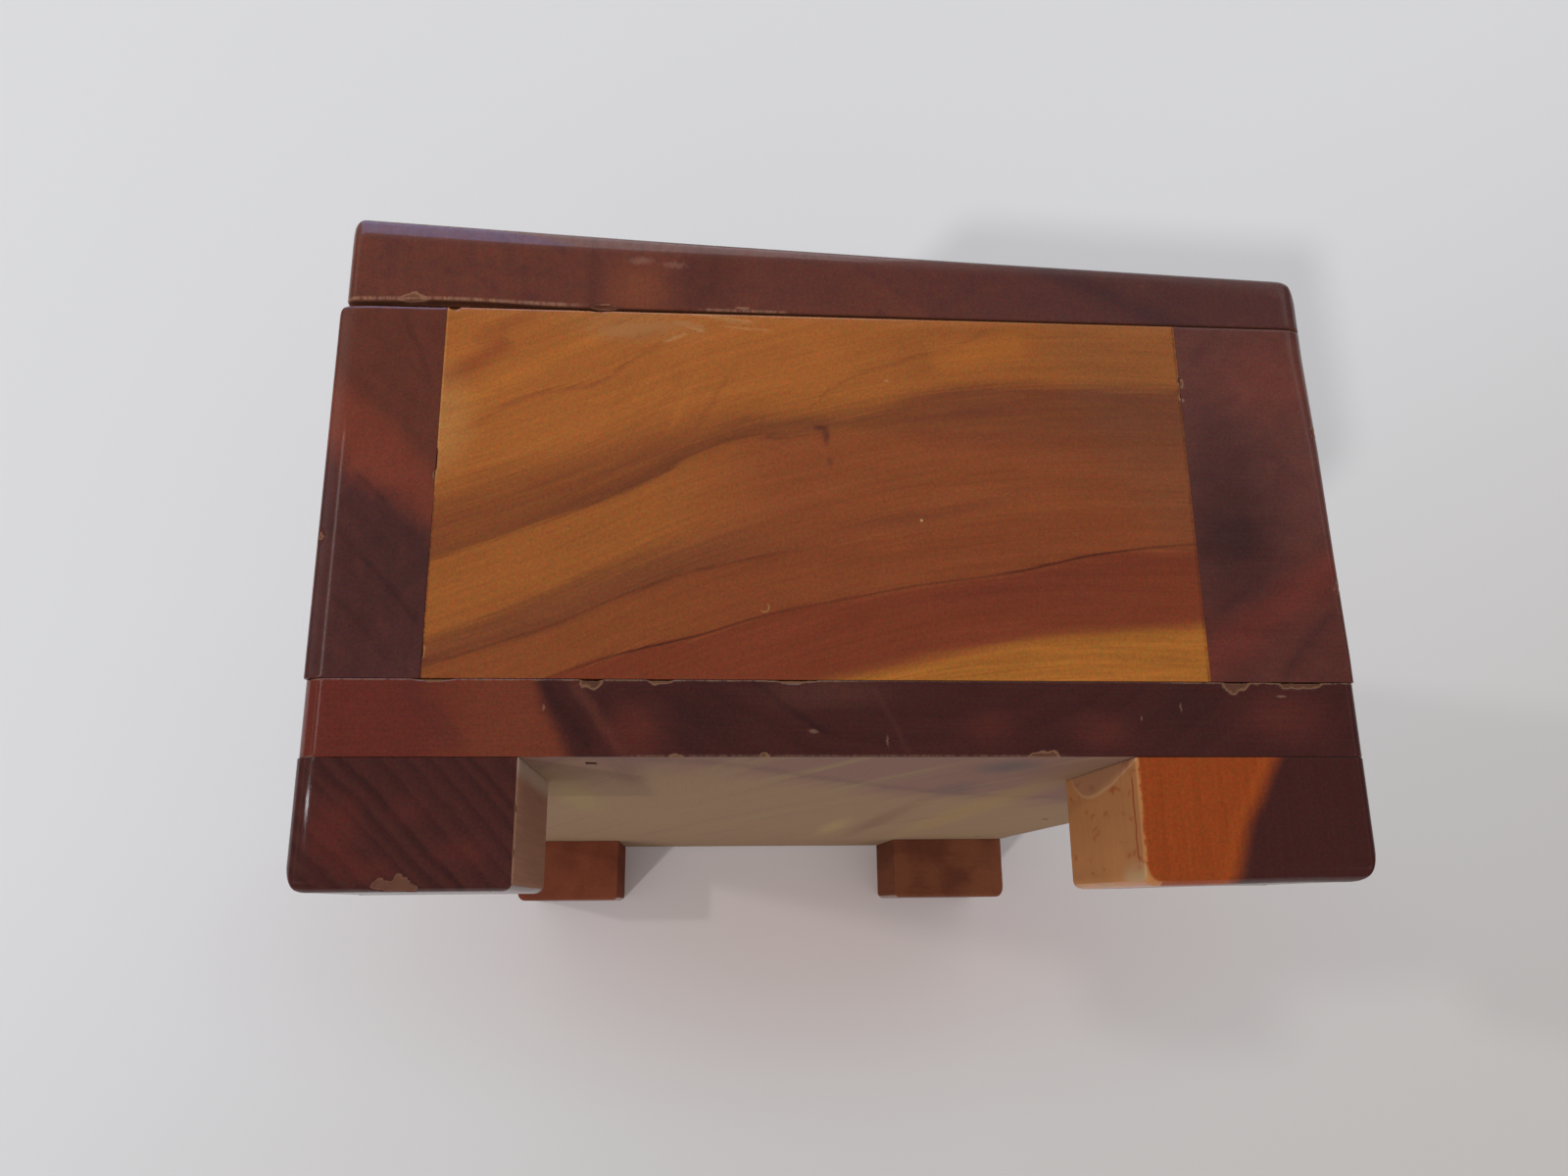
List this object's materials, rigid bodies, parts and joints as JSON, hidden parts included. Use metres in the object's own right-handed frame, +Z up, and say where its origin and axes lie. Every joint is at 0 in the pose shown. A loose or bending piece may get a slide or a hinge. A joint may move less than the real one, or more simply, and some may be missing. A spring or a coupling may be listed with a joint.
{
  "type": "keepsake box",
  "caption": "Small hinged cedar keepsake box with a wedge-shaped lid, butt-jointed walls, a nailed base and block feet.",
  "frame": {"origin": "centre of the outline, hinge barrels included, on the surface that the feet stand on", "axes": "+X along the box towards the end that the picture shows, -Y out of the front, +Y out of the hinged back, +Z up"},
  "size_m": [0.153, 0.095, 0.0622],
  "materials": {
    "lid_wood": "varnished",
    "front_wood": "varnished",
    "back_wood": "varnished",
    "right_panel_wood": "varnished",
    "left_panel_wood": "varnished",
    "base_wood": "varnished edges, bare underneath",
    "foot_front_right_wood": "varnished",
    "foot_back_right_wood": "varnished",
    "foot_front_left_wood": "varnished",
    "foot_back_left_wood": "varnished",
    "hinge_brass": "satin, slightly tarnished",
    "pin_brass": "satin, slightly tarnished",
    "screw_brass": "satin",
    "brad_steel": "dull, darkened by the cedar"
  },
  "bodies": {
    "case": {"front_wall": "front_wood", "back_wall": "back_wood", "right_end_panel": "right_panel_wood", "left_end_panel": "left_panel_wood", "base_board": "base_wood", "foot_front_right": "foot_front_right_wood", "foot_back_right": "foot_back_right_wood", "foot_front_left": "foot_front_left_wood", "foot_back_left": "foot_back_left_wood", "left_hinge_case_leaf": "hinge_brass", "right_hinge_case_leaf": "hinge_brass", "left_hinge_pin": "pin_brass", "right_hinge_pin": "pin_brass", "left_hinge_case_screws": "screw_brass", "right_hinge_case_screws": "screw_brass", "base_brads": "brad_steel"},
    "lid": {"lid_board": "lid_wood", "left_hinge_lid_leaf": "hinge_brass", "right_hinge_lid_leaf": "hinge_brass", "left_hinge_lid_screws": "screw_brass", "right_hinge_lid_screws": "screw_brass"}
  },
  "joints": [
    {"name": "lid_hinge", "type": "hinge", "parent": "case", "child": "lid", "pos_m": [0, 0.04627, 0.05285], "axis": [-1, 0, 0], "range_deg": [0, 200]}
  ]
}
